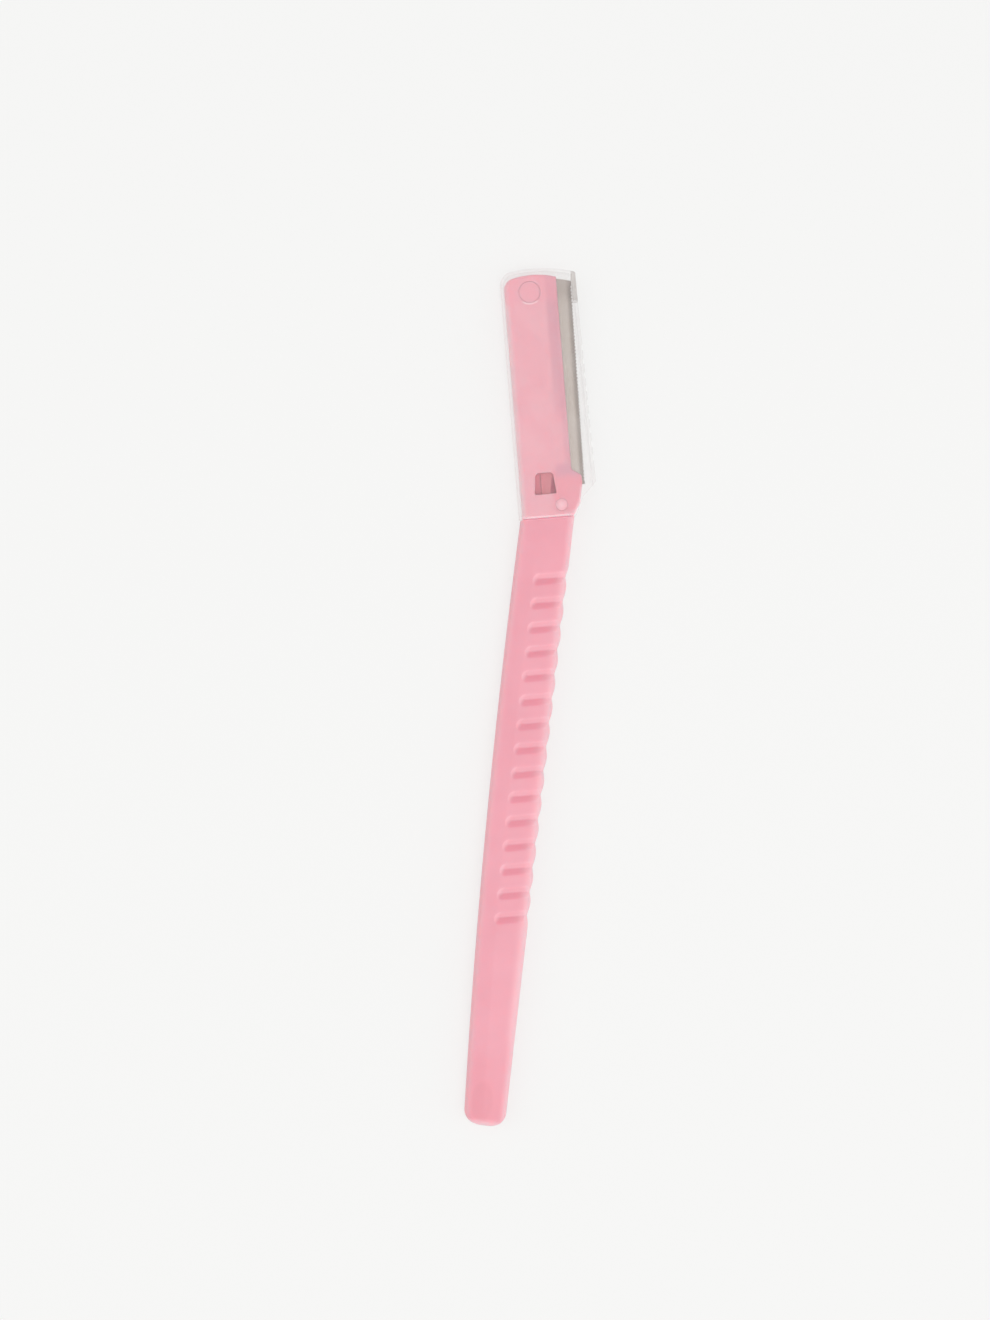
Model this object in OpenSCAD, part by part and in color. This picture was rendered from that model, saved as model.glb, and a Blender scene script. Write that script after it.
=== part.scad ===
// Eyebrow razor with a guarded steel blade and a clear slide-on cap, lying on its back.
// The origin is on the flat back of the grip. +Y runs from the tail to the head, +X to the
// blade's side and +Z out of the front face. All sizes are in millimetres.

/* [Handle] */
// Length of the handle, from the mouth of the cap to the tail
handle_l = 106.2; // [92:0.1:125]
// Greatest width of the handle
handle_w = 9.45; // [8.5:0.05:12]
// Width of the handle at its tail
tail_w = 7.2; // [6.5:0.1:8]
// Thickness of the handle at its tail
tail_t = 3.8; // [3:0.1:4.6]
// Distance from the handle's axis to its edge on the blade's side
edge_x = 4.6; // [4.2:0.05:5]
// Rounding along the front edges of the handle
front_r = 1.2; // [0.7:0.1:1.5]
// Rounding along the back edges of the handle
back_r = 0.8; // [0.4:0.1:1.2]
// Rounding of the tail's corners, seen from the front
tail_r = 2.6; // [1.5:0.1:3]
// Width of the sloped strip of the front face beside the spine
slope_w = 3.3; // [2:0.1:4]
// Drop of that strip at the spine
slope_d = 0.3; // [0:0.05:0.6]

/* [Grip] */
// Number of thumb grooves
groove_n = 15; // [6:1:18]
// Distance from one groove to the next
groove_pitch = 4.22; // [3.4:0.02:4.8]
// Width of a groove
groove_w = 1.9; // [1.2:0.1:2.6]
// Depth of a groove
groove_d = 0.6; // [0.3:0.05:0.9]
// Distance from the mouth of the cap to the first groove
groove_start = 10.75; // [8:0.05:20]
// Distance of the grooves' inner ends from the handle's edge on the blade's side
groove_run = 5.9; // [3:0.1:6.5]
// Depth of the notch that each groove leaves in that edge
notch_d = 0.5; // [0.2:0.05:0.8]

/* [Head] */
// Angle by which the head leans away from the blade's side, in degrees
head_tilt = 11.1; // [0:0.1:20]
// Length of the head, from the mouth of the cap to its top
head_l = 42.2; // [36:0.1:50]
// Thickness of the head
head_t = 3.5; // [3:0.1:4.5]
// Distance from the head's axis to its spine
spine_x = 4.35; // [4:0.05:4.8]
// Distance from the head's axis to the lips that hold the blade
lip_x = 4.8; // [4.2:0.05:5]
// Distance from the head's axis to the side of the shoulder
shoulder_x = 6.5; // [5.8:0.05:6.7]
// Height above the mouth of the cap where that side and the guard begin
shoulder_y = 5.4; // [4:0.1:6.5]
// Length of the shoulder's side
shoulder_l = 1.6; // [0.5:0.1:2]
// Height above the mouth of the cap where the lips begin
lip_y = 8.1; // [7.5:0.1:9]
// Distance from the head's axis to the edge of the neck at the mouth of the cap
neck_x = 4.55; // [4:0.05:4.6]
// Rounding along the spine
spine_r = 1.2; // [0.6:0.1:1.5]
// Radius of the dome across the head's top
dome_r = 15; // [12:0.5:40]
// Radius of the flatter dome across the tops of the blade, the guard and the cap
far_dome_r = 24; // [16:0.5:40]
// Distance of the domes' crests from the head's axis
dome_x = 0.7; // [0:0.1:2]
// Rounding of the head's top corner over the spine
corner_r = 1.8; // [1:0.1:2.5]
// Distance from the head's axis to where its faces start to slope to the blade
taper_x = 2; // [1:0.1:3.5]
// Angle of that slope, in degrees
taper_angle = 12; // [0:0.5:14]

/* [Window] */
// Width of the window at its lower edge
window_w = 3.8; // [2.5:0.1:4.2]
// Width of the window at its upper edge
window_top_w = 3; // [2:0.1:3.6]
// Height of the window
window_h = 3.7; // [2:0.1:4]
// Height of the window's lower edge above the mouth of the cap
window_y = 4.1; // [3.8:0.1:8]
// Rounding of the window's upper corners
window_r = 0.7; // [0.3:0.1:1]

/* [Cover and pins] */
// Distance from the head's axis to the seam between the spine and the back cover
seam_x = 2.2; // [1.6:0.1:2.6]
// Radius of the lower pin, through the blade's tang
pin_r = 1; // [0.7:0.05:1.1]
// Distance of the lower pin from the head's axis
pin_x = 2.6; // [2.3:0.05:2.9]
// Height of the lower pin above the mouth of the cap
pin_y = 2.05; // [1.95:0.05:2.4]
// Radius of the upper pin, in the notch of the blade's back
boss_r = 1.85; // [1:0.05:1.95]
// Distance of the upper pin below the head's top
boss_drop = 2.95; // [2.6:0.05:6]
// Depth of the upper pin's end below the front face
boss_sink = 0.15; // [0:0.05:0.4]

/* [Blade and guard] */
// Thickness of the blade
blade_t = 0.3; // [0.2:0.02:0.4]
// Distance from the head's axis to the blade's back
blade_back_x = 0.65; // [0.3:0.05:1.2]
// Distance from the head's axis to the guard's fold, level with the shoulder's tip
fold_x = 6.95; // [6.2:0.05:7.4]
// Angle by which the fold leans outwards from the head's axis, in degrees
fold_angle = 0.65; // [0:0.05:1.4]
// Depth of the blade's top below the head's top
blade_drop = 0.5; // [0.1:0.05:1]
// Width of the blade's ground bevel
bevel_w = 1.1; // [0.6:0.1:1.6]
// Thickness of the guard's foil
guard_t = 0.1; // [0.06:0.01:0.14]
// Width of the foil that the lips hold
hold_w = 0.6; // [0.3:0.1:1]
// Distance from one guard slot to the next
slot_pitch = 0.6; // [0.5:0.05:1]
// Width of a guard slot
slot_w = 0.3; // [0.2:0.02:0.4]
// Length of a guard slot, in from the fold
slot_l = 0.75; // [0.4:0.05:1]

/* [Cap] */
// Wall of the cap
cap_wall = 0.5; // [0.4:0.05:0.8]
// Clearance between the cap and the head
cap_gap = 0.15; // [0.1:0.01:0.3]
// Clearance between the cap and the head's top
cap_top_gap = 0.6; // [0.3:0.05:2]
// Clearance between the cap's wall and the guard's fold, level with the head's top
cap_edge_gap = 0.3; // [0.25:0.05:1.5]
// Angle by which the cap widens towards its mouth, in degrees
cap_draft = 1.1; // [0:0.1:1.4]
// Rounding along the cap's edges
cap_r = 0.9; // [0.5:0.1:1.2]
// Height above the mouth where the cap's slanted corner starts
cap_corner_y = 5.6; // [5:0.1:8]
// Number of ribs on the cap's edge
rib_n = 9; // [3:1:11]
// Distance from one rib to the next
rib_pitch = 2.4; // [2:0.1:2.8]
// Depth of the hollows between the ribs
rib_d = 0.2; // [0.1:0.02:0.3]
// Length of the stop block in the cap's top corner
block_l = 5.1; // [2:0.1:8]

/* [Hidden] */

// Overrun of a cut past the face that it opens
over = 1;
// Clearance between pieces that are fixed to each other
fit = 0.05;
// Segments in a rounded edge, and in a rounded corner seen from the front
edge_n = 4;
corner_n = 8;
// Facets of the pins and of the holes that take them
pin_fn = 48;

// The cap closes flush with the handle, and both lie on the same plane
cap_t = head_t + 2 * (cap_gap + cap_wall);
handle_t = cap_t;
// Place of the handle's greatest width, as a share of its length
bow_share = 0.24;
// Place of the origin on the handle's back, as a share of its length
origin_share = 0.45;
origin_y = handle_l * origin_share;
// Largest rounding of a section, as a share of its width and of its height
round_share = 0.4;
// Places of the section's points between its rounded front corners
front_shares = [0, 0.15, 0.27, 0.33, 0.39, 0.45, 0.51, 0.68, 0.84, 1];
// Places of sections across a groove, counted from its middle in half widths
groove_shares = [-1, -0.5, 0, 0.5, 1];
// Places of sections in the tail's rounded corners, and between the tail and the grip
tail_shares = [0, 0.02, 0.08, 0.2, 0.4, 0.65, 1];
plain_n = 6;
// Sections between the cap's mouth and the grip
neck_n = 4;
grip_end = groove_start + (groove_n - 0.5) * groove_pitch;
groove_x = edge_x - groove_run + groove_w / 2;
// Length of the head's root inside the neck
head_root = head_t;
// The back cover and the blade's tang end below the lower pin
cover_y = (pin_y - pin_r) / 3;
tang_y = 2 * cover_y;
tang_x = pin_x + 2 * pin_r;
boss_y = head_l - boss_drop;
// Clearance around the blade and the guard's foil
pocket_gap = 2 * fit;
guard_in = lip_x - hold_w;
// Depth of the blade's edge inside the guard's fold
edge_gap = guard_t + fit;
cap_top = head_l + cap_top_gap + cap_wall;
rib_low = cap_corner_y + 1.5 * rib_pitch;
// Places of the bends in the shoulder's slope and in the cap's slanted corner, as shares of the
// shoulder's width and height
slope_shares = [0.66, 0.37];
corner_shares = [0.7, 0.58];
// The blade steps out to its edge at the shoulder's side
step_x = shoulder_x - 2 * hold_w;

// Height of the sloped face above the mid-plane, at a distance from the head's axis
function face_z(x) = head_t / 2 - max(0, x - taper_x) * tan(taper_angle);
// Distance of the guard's fold from the head's axis, at a height above the cap's mouth
function fold_at(y) = fold_x + (y - shoulder_y) * tan(fold_angle);
// Distance of the cap's outer wall from the head's axis, on the blade's side
function cap_side(y) = fold_at(head_l) + cap_edge_gap + cap_wall + (head_l - y) * tan(cap_draft);
block_x = fold_at(head_l) + cap_gap;
// A distance past everything on the blade's side of the head
head_far = max(shoulder_x, fold_at(head_l)) + over;
// Height of the flatter dome, lowered by a drop, at a distance from the head's axis
function dome_y(x, drop) = head_l - far_dome_r + sqrt(sq(far_dome_r - drop) - sq(x - dome_x));

function sq(v) = v * v;
function lerp(a, b, s) = a + (b - a) * s;
function arc(x, y, r, from, to, n) =
    [for (i = [0 : n]) let (a = lerp(from, to, i / n)) [x + r * cos(a), y + r * sin(a)]];
// Points along that dome, from x = right to x = left
function dome(right, left, drop) =
    let (r = far_dome_r - drop)
    arc(dome_x, head_l - far_dome_r, r, acos((right - dome_x) / r), acos((left - dome_x) / r), corner_n);
// Points along a dome with a crown of radius crown_r and round its corner, down to x = left
function domed_corner(right, left, crown_r, drop, corner) =
    let (
        r = crown_r - drop,
        x = left + corner,
        rise = sqrt(sq(r - corner) - sq(x - dome_x)),
        turn = atan2(rise, x - dome_x)
    )
    concat(
        arc(dome_x, head_l - crown_r, r, acos((right - dome_x) / r), turn, corner_n),
        arc(x, head_l - crown_r + rise, corner, turn, 180, edge_n)
    );
// Inset of a quarter round of radius r at a distance d from its end
function round_inset(d, r) = d >= r ? 0 : r - sqrt(max(0, sq(r) - sq(r - d)));

// Width of the handle at a height y, which is zero at the cap's mouth and negative below it
function width_at(y) =
    handle_w - (handle_w - tail_w) * sq((-y / handle_l - bow_share) / (1 - bow_share));
function thickness_at(y) =
    lerp(handle_t, tail_t, max(0, (-y - grip_end) / (handle_l - grip_end)));
// Number of the pitch that a height lies in, which is a whole number at each groove
function phase_at(y) = (-y - groove_start) / groove_pitch;
function notch_at(y) =
    let (phase = phase_at(y), part = phase - floor(phase))
    phase < -0.5 || phase > groove_n - 0.5 ? 0 : notch_d * sq(2 * part - 1);
function groove_depth(x, y) =
    let (
        nearest = min(max(round(phase_at(y)), 0), groove_n - 1),
        across = (-y - groove_start - nearest * groove_pitch) * cos(head_tilt),
        along = min(0, x - groove_x) / cos(head_tilt),
        reach = norm([across, along]) / (groove_w / 2)
    )
    groove_d * max(0, 1 - reach);
// The front face slopes beside the spine, and the slope starts below the neck
function slope_at(x, left, y) =
    slope_d * min(1, -y / groove_start) * max(0, 1 - (x - left) / slope_w);

// Sections lie parallel to the cap's mouth, and turn square to the handle at the tail
function shear_at(y) =
    tan(head_tilt) * min(1, max(0, (y + handle_l) / (handle_l - grip_end)));

function section(y) =
    let (
        inset = round_inset(y + handle_l, tail_r),
        left = edge_x - width_at(y) + inset,
        right = edge_x - notch_at(y) - inset,
        low = round_inset(y + handle_l, back_r),
        high = thickness_at(y) - round_inset(y + handle_l, front_r),
        limit = round_share * min(right - left, high - low),
        rf = min(front_r, limit),
        rb = min(back_r, limit),
        back = concat(
            arc(left + rb, low + rb, rb, 180, 270, edge_n),
            arc(right - rb, low + rb, rb, 270, 360, edge_n)
        ),
        front = concat(
            arc(right - rf, high - rf, rf, 0, 90, edge_n),
            [for (i = [len(front_shares) - 2 : -1 : 1])
                [lerp(left + rf, right - rf, front_shares[i]), high]],
            arc(left + rf, high - rf, rf, 90, 180, edge_n)
        )
    )
    concat(
        [for (p = back) [p[0], y + p[0] * shear_at(y), p[1]]],
        [for (p = front)
            [p[0], y + p[0] * shear_at(y),
             min(p[1], high - groove_depth(p[0], y)) - slope_at(p[0], left, y)]]
    );

// Heights of the sections, from the tail up to the cap's mouth
grip_heights = concat(
    [for (s = tail_shares) -handle_l + tail_r * s],
    [for (i = [1 : plain_n]) lerp(-handle_l + tail_r, -grip_end, i / plain_n)],
    [for (k = [groove_n - 1 : -1 : 0])
        let (groove_y = -(groove_start + k * groove_pitch))
        each concat([for (s = groove_shares) groove_y + s * groove_w / 2], [groove_y + groove_pitch / 2])],
    [for (i = [1 : neck_n]) lerp(groove_pitch / 2 - groove_start, -cap_gap / cos(head_tilt), i / neck_n)]
);

// Handle below the cap's mouth, as a closed surface through its sections
module grip_body() {
    rings = [for (y = grip_heights) section(y)];
    n = len(rings[0]);
    m = len(rings);
    sides = [
        for (i = [0 : m - 2], j = [0 : n - 1])
            let (a = i * n + j, b = i * n + (j + 1) % n)
            each [[a, b, b + n], [a, b + n, a + n]]
    ];
    ends = [[for (j = [n - 1 : -1 : 0]) j], [for (j = [0 : n - 1]) (m - 1) * n + j]];
    polyhedron(points = [for (ring = rings) each ring], faces = concat(sides, ends));
}

// Puts children from the head's frame, whose origin is on the mid-plane at the cap's mouth
module on_head() {
    translate([0, origin_y, handle_t / 2]) rotate([0, 0, head_tilt]) children();
}

// Prism with a plan outline, centred on the head's mid-plane
module plate(points, thickness) {
    translate([0, 0, -thickness / 2]) linear_extrude(thickness) polygon(points);
}

// Prism along the head's axis with a section outline of x and z
module bar(points, from, to) {
    translate([0, to, 0]) rotate([90, 0, 0]) linear_extrude(to - from) polygon(points);
}

// Outline of the head, seen from the front
head_plan = concat(
    [[-spine_x, -head_root], [neck_x - cap_gap - head_root * tan(head_tilt), -head_root],
     [neck_x, 0], [lerp(neck_x, shoulder_x, slope_shares[0]), slope_shares[1] * shoulder_y],
     [shoulder_x, shoulder_y], [shoulder_x, shoulder_y + shoulder_l], [lip_x, lip_y]],
    domed_corner(lip_x, -spine_x, dome_r, 0, corner_r)
);

// Section of the head, round at the spine and sloped towards the blade
head_section = concat(
    [[taper_x, -face_z(0)], [head_far, -face_z(head_far)],
     [head_far, face_z(head_far)], [taper_x, face_z(0)]],
    arc(spine_r - spine_x, head_t / 2 - spine_r, spine_r, 90, 180, edge_n),
    arc(spine_r - spine_x, spine_r - head_t / 2, spine_r, 180, 270, edge_n)
);

module head_form() {
    intersection() {
        plate(head_plan, head_t + 2 * over);
        bar(head_section, -head_root - over, head_l + over);
    }
}

// Space behind the blade's plane that the back cover fills, less a clearance
module cover_space(gap) {
    translate([-seam_x + gap, cover_y + gap, -head_t])
        cube([seam_x + head_far + over, head_l + over, head_t + blade_t / 2]);
}

blade_plan = concat(
    [[-blade_back_x, tang_y], [tang_x, tang_y], [step_x, shoulder_y],
     [fold_at(shoulder_y) - edge_gap, shoulder_y]],
    dome(fold_at(head_l) - edge_gap, -blade_back_x, blade_drop)
);
pocket_plan = [
    [-blade_back_x - pocket_gap, tang_y - pocket_gap], [tang_x + pocket_gap, tang_y - pocket_gap],
    [step_x + pocket_gap, shoulder_y - pocket_gap], [head_far + over, shoulder_y - pocket_gap],
    [head_far + over, head_l + over],
    [-blade_back_x - pocket_gap, head_l + over]
];

// Rounded window through the front of the head, over the tang
module window() {
    half = window_top_w / 2;
    top = window_y + window_h;
    linear_extrude(head_t)
        polygon(concat(
            [[-window_w / 2, window_y], [window_w / 2, window_y]],
            arc(half - window_r, top - window_r, window_r, 0, 90, edge_n),
            arc(window_r - half, top - window_r, window_r, 90, 180, edge_n)
        ));
}

// Room in the lips for the guard's foil
module guard_space() {
    thickness = blade_t + 2 * guard_t;
    translate([guard_in - pocket_gap, shoulder_y - pocket_gap, -thickness / 2])
        cube([head_far + over, head_l + over, thickness]);
}

module pins(gap, lower_top, upper_top) {
    translate([pin_x, pin_y, -blade_t / 2])
        cylinder(h = lower_top + blade_t / 2, r = pin_r + gap, $fn = pin_fn);
    translate([0, boss_y, -blade_t / 2])
        cylinder(h = upper_top + blade_t / 2, r = boss_r + gap, $fn = pin_fn);
}

module handle() {
    color("pink") {
        difference() {
            union() {
                translate([0, origin_y, 0]) grip_body();
                on_head() head_form();
            }
            on_head() {
                cover_space(0);
                window();
                guard_space();
                pins(fit, head_t, head_t);
            }
        }
    }
}

module head_cover() {
    color("lightpink") on_head() {
        difference() {
            intersection() {
                head_form();
                cover_space(fit);
            }
            translate([0, 0, head_t / 2]) plate(pocket_plan, head_t + blade_t);
            guard_space();
        }
        pins(0, face_z(0), face_z(0) - boss_sink);
    }
}

// Wedge that grinds one face of the blade down to its edge
module bevel_cut() {
    on_fold()
        translate([-edge_gap, 0, 0])
            rotate([0, atan(blade_t / 2 / bevel_w), 0])
                translate([-bevel_w - over, -head_l, 0])
                    cube([bevel_w + 2 * over, 3 * head_l, blade_t]);
}

module blade() {
    color("silver") on_head() difference() {
        plate(blade_plan, blade_t);
        bevel_cut();
        mirror([0, 0, 1]) bevel_cut();
        translate([0, 0, -blade_t]) {
            translate([pin_x, pin_y, 0])
                cylinder(h = 2 * blade_t, r = pin_r + 2 * fit, $fn = pin_fn);
            translate([0, boss_y, 0])
                cylinder(h = 2 * blade_t, r = boss_r + 2 * fit, $fn = pin_fn);
        }
    }
}

// The guard is drawn in a frame that stands on its fold, with +X out of the fold
module on_fold() {
    translate([fold_at(shoulder_y), shoulder_y, 0]) rotate([0, 0, -fold_angle]) children();
}

module guard() {
    fold_r = blade_t / 2 + guard_t;
    slot_n = floor((dome_y(fold_at(head_l), blade_drop) - shoulder_y) / slot_pitch) - 1;
    color("gainsboro") on_head() difference() {
        intersection() {
            on_fold() {
                translate([-head_far, 0, -fold_r]) cube([head_far - fold_r, head_l, 2 * fold_r]);
                translate([-fold_r, 0, 0]) rotate([-90, 0, 0]) cylinder(h = head_l, r = fold_r, $fn = pin_fn);
            }
            plate(concat([[guard_in, 0], [head_far, 0]], dome(head_far, guard_in, blade_drop)), head_t);
        }
        on_fold() {
            translate([-head_far, -over, -blade_t / 2])
                cube([head_far - guard_t, head_l + 2 * over, blade_t]);
            for (i = [1 : slot_n])
                translate([-slot_l, i * slot_pitch, -head_t]) cube([slot_l + over, slot_w, 2 * head_t]);
        }
    }
}

// Outline of the cap seen from the front, drawn in by an inset
function cap_plan(inset, low) =
    let (
        left = spine_x + cap_gap + cap_wall - inset,
        right = cap_side(head_l) - inset,
        corner = corner_r + cap_gap + cap_wall - inset
    )
    concat(
        [[-left, low], [cap_side(low) - inset, low]],
        domed_corner(right, -left, far_dome_r, inset - cap_top_gap - cap_wall, corner)
    );

// Bar of the cap's thickness, with rounded edges on the side that faces -X
function cap_section(left, half, r, far) = concat(
    [[far, -half], [far, half]],
    arc(r - left, half - r, r, 90, 180, edge_n),
    arc(r - left, r - half, r, 180, 270, edge_n)
);

module cap_form(inset, low) {
    half = cap_t / 2 - inset;
    left = spine_x + cap_gap + cap_wall - inset;
    far = cap_side(0) + 2 * spine_x;
    r = cap_r - inset;
    intersection() {
        plate(cap_plan(inset, low), cap_t + 2 * over);
        bar(cap_section(left, half, r, far), low - over, cap_top + over);
        translate([cap_side(0) - inset, 0, 0]) rotate([0, 0, cap_draft])
            bar([for (p = cap_section(0, half, r, far)) [-p[0], p[1]]], low - 2 * over, cap_top + over);
    }
}

// Slanted corner that leaves the shoulder free on the blade's side
module corner_cut() {
    far = cap_side(0) + over;
    plate([
        [neck_x + cap_wall, -over], [neck_x + cap_wall, 0],
        [lerp(neck_x, shoulder_x, corner_shares[0]) + cap_wall, corner_shares[1] * shoulder_y],
        [cap_side(cap_corner_y), cap_corner_y], [far, cap_corner_y], [far, -over]
    ], cap_t + 2 * over);
}

module cap() {
    color("white", 0.4) on_head() {
        difference() {
            cap_form(0, 0);
            difference() {
                cap_form(cap_wall, -over);
                translate([block_x, head_l - block_l, -head_t]) cube([head_far, 2 * block_l, 2 * head_t]);
            }
            corner_cut();
            for (i = [0 : rib_n - 1]) {
                y = rib_low + i * rib_pitch;
                translate([cap_side(y) - rib_d, y, -cap_t])
                    cube([rib_d + over, rib_pitch / 2, 2 * cap_t]);
            }
        }
    }
}

handle();
head_cover();
blade();
guard();
cap();
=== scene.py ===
"""Looks of the eyebrow razor: fine meshes, materials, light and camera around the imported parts."""
import math

import bpy
from mathutils import Matrix, Vector, geometry


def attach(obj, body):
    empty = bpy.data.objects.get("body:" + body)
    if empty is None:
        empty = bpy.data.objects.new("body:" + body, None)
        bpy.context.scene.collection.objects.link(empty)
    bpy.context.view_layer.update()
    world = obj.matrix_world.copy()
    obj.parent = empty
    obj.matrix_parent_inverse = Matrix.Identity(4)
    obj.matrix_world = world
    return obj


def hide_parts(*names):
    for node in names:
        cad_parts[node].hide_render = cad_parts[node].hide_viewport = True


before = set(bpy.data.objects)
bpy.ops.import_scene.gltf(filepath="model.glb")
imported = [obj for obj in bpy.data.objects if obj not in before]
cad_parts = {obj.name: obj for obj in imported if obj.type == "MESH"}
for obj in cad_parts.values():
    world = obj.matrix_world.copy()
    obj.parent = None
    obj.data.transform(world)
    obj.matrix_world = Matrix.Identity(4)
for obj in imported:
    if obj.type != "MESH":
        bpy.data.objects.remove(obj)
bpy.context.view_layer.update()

# Units: shapes are worked out in millimetres, and the meshes are in metres
MM = 0.001

# How far a cutter runs past what it cuts
OVER = 1.0

# Handle
HANDLE_L = 106.2
HANDLE_W = 9.45
HANDLE_T = 4.8
TAIL_W = 7.2
TAIL_T = 3.8
EDGE_X = 4.6
FRONT_R = 1.2
BACK_R = 0.8
TAIL_R = 2.6
# Slope down the left side of the front
SLOPE_W = 3.3
SLOPE_D = 0.3
# Where the handle is widest, as a share of its length from the mouth
BOW_SHARE = 0.24
# The most that a rounded edge takes of a section's width or thickness
ROUND_SHARE = 0.4
# Where the row's origin lies, as a share of the handle's length from the mouth
ORIGIN_SHARE = 0.45
ORIGIN_Y = HANDLE_L * ORIGIN_SHARE
TAIL_Y = ORIGIN_Y - HANDLE_L

# Grip
GROOVE_N = 15
GROOVE_PITCH = 4.22
GROOVE_W = 1.9
GROOVE_D = 0.6
GROOVE_START = 10.75
GROOVE_L = 5.9
GROOVE_X = EDGE_X - GROOVE_L + GROOVE_W / 2
GRIP_END = GROOVE_START + (GROOVE_N - 0.5) * GROOVE_PITCH
NOTCH_D = 0.5
# Rounding of the cusps, of a groove's rim and of its floor, as shares of half their width
NOTCH_SOFT = 0.16
GROOVE_SOFT = 0.07
GROOVE_TIP = 0.14
# Distance from a groove's middle, in half widths, beyond which it has no depth
GROOVE_CUTOFF = 2
MOUTH_R = 0.06

# Head, in its own frame: +Y along the head, origin at the mouth of the cap on the mid-plane
HEAD_TILT = math.radians(11.1)
HEAD_L = 42.2
HEAD_T = 3.5
HEAD_ROOT = 3.5
SPINE_X = 4.35
SPINE_R = 1.2
RIM_R = 0.3
LIP_X = 4.8
LIP_Y = 8.1
SHOULDER_X = 6.5
SHOULDER_Y = 5.4
SHOULDER_L = 1.6
SHOULDER_R = 0.5
BEND_R = 3.0
# Place of the bend below the shoulder, as shares of the way from the neck
SLOPE_SHARES = (0.66, 0.37)
NECK_X = 4.55
DOME_R = 15
FAR_DOME_R = 24
DOME_X = 0.7
CORNER_R = 1.8
TAPER_X = 2
TAPER = math.tan(math.radians(12))
TAPER_SOFT = 0.3
SEAM_X = 2.2
SEAM_GAP = 0.05
COVER_Y = 0.35

# Window and pins, and the circle that the shoulder's pale rim follows
WINDOW_W = 3.8
WINDOW_TOP_W = 3
WINDOW_H = 3.7
WINDOW_Y = 4.1
WINDOW_R = 0.7
WINDOW_FOOT_R = 0.25
WINDOW_LIP = 0.14
RIM_X = -1.2
RIM_Y = 5.1
RIM_REACH = 7.7
PIN_R = 1.0
PIN_X = 2.6
PIN_Y = 2.05
BOSS_R = 1.85
BOSS_Y = HEAD_L - 2.95
BOSS_SINK = 0.15
PIN_GAP = 0.025
PIN_LIP = 0.05
PIN_FOOT = -HEAD_T / 4

# Blade and guard
BLADE_T = 0.3
BLADE_BACK_X = 0.65
TANG_Y = 0.7
GUARD_T = 0.1
GUARD_IN = LIP_X - 0.6
STEP_X = SHOULDER_X - 1.2
POCKET_GAP = 0.1
FOLD_X = 6.95
FOLD_SLOPE = math.tan(math.radians(0.65))

# Cap
CAP_WALL = 0.5
CAP_GAP = 0.15
CAP_TOP_GAP = 0.6
CAP_EDGE_GAP = 0.3
CAP_DRAFT = math.tan(math.radians(1.1))
CAP_R = 0.9
CAP_CORNER_Y = 5.6
# Middle of the slanted corner, as shares of the way from the neck to the shoulder
CORNER_SHARES = (0.7, 0.58)
CAP_RIM_R = 0.07
RIB_N = 9
RIB_PITCH = 2.4
RIB_LOW = CAP_CORNER_Y + 1.5 * RIB_PITCH
RIB_D = 0.2
RIB_RAMP = 0.15
BLOCK_L = 5.1
BLOCK_R = 0.35
# How far inside the wall the points of the cap's top start
TOP_START = 0.5

# Resolution of the curved surfaces
ROUND_N = 7
ARC_N = 20
PITCH_N = 18
FACE_N = 46
PLAIN_STEP = 0.9
TAIL_N = 18
PIN_N = 64
SIDE_N = 24
BLOCK_N = 5
CAP_RIM_N = 3
# Radius and segments of each bend of the head's outline, from the neck up to the lip
BENDS = ((BEND_R, 5), (BEND_R, 3), (SHOULDER_R, 6), (SHOULDER_R, 4))
# Places of the points inside the head's faces, closer where the front starts to slope
FACE_COLUMNS = (-2.8, -1.4, 0, 1.2, 1.6, 2.0, 2.4, 2.9, 3.5, 4.1, 5.0)
FACE_ROWS = range(-2, 28)
FACE_STEP = 1.5
# Least distance of these points from the outline
FACE_GAP = 0.25
# Limit that keeps a sharp corner of an outline from moving in too far
MITRE_LIMIT = 0.5
# Points closer than this are one
MERGE_GAP = 1e-7
# Keeps the solid corner's first point on its own side of the limit that is tested
SLACK = 0.01
# Turns, in degrees, above which shading keeps an edge and the cap's rim is rounded
SHARP_TURN = 35
CAP_RIM_TURN = 50

# Camera, in metres; the picture is in pixels, and its upright leans against the handle
PICTURE = (990, 1320)
PIXELS_PER_MM = 5.75
PICTURE_LEAN = math.radians(6.5)
MOUTH_PIXEL = (547.5, 518)
CAMERA_DISTANCE = 0.6
SENSOR = 36


def lerp(a, b, s):
    return a + (b - a) * s


def clamp(v, low=0.0, high=1.0):
    return min(max(v, low), high)


def arc(x, y, r, start, end, n):
    """Points on an arc, with its angles in degrees."""
    return [
        Vector((x + r * math.cos(a), y + r * math.sin(a)))
        for a in (math.radians(lerp(start, end, i / n)) for i in range(n + 1))
    ]


def soft_positive(v, soft):
    """v where it is positive and zero elsewhere, with a rounded corner between."""
    return (v + math.sqrt(v * v + soft * soft)) / 2


# Where the head lies in the row's frame
ON_HEAD = Matrix.Translation((0, ORIGIN_Y, HANDLE_T / 2)) @ Matrix.Rotation(HEAD_TILT, 4, "Z")
ON_HANDLE = Matrix.Translation((0, ORIGIN_Y, 0))


def make_object(name, points, faces, place=Matrix.Identity(4)):
    """Mesh object from points in millimetres, in the frame that place puts into the row's."""
    mesh = bpy.data.meshes.new(name)
    mesh.from_pydata([place @ Vector(p) * MM for p in points], [], faces)
    mesh.validate()
    obj = bpy.data.objects.new(name, mesh)
    bpy.context.scene.collection.objects.link(obj)
    return obj


def combine(obj, other, operation):
    """Joins, cuts or intersects obj with another solid, which is then removed."""
    step = obj.modifiers.new(operation.lower(), "BOOLEAN")
    step.operation = operation
    step.solver = "EXACT"
    step.object = other
    settle(obj)
    bpy.data.objects.remove(other)


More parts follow.
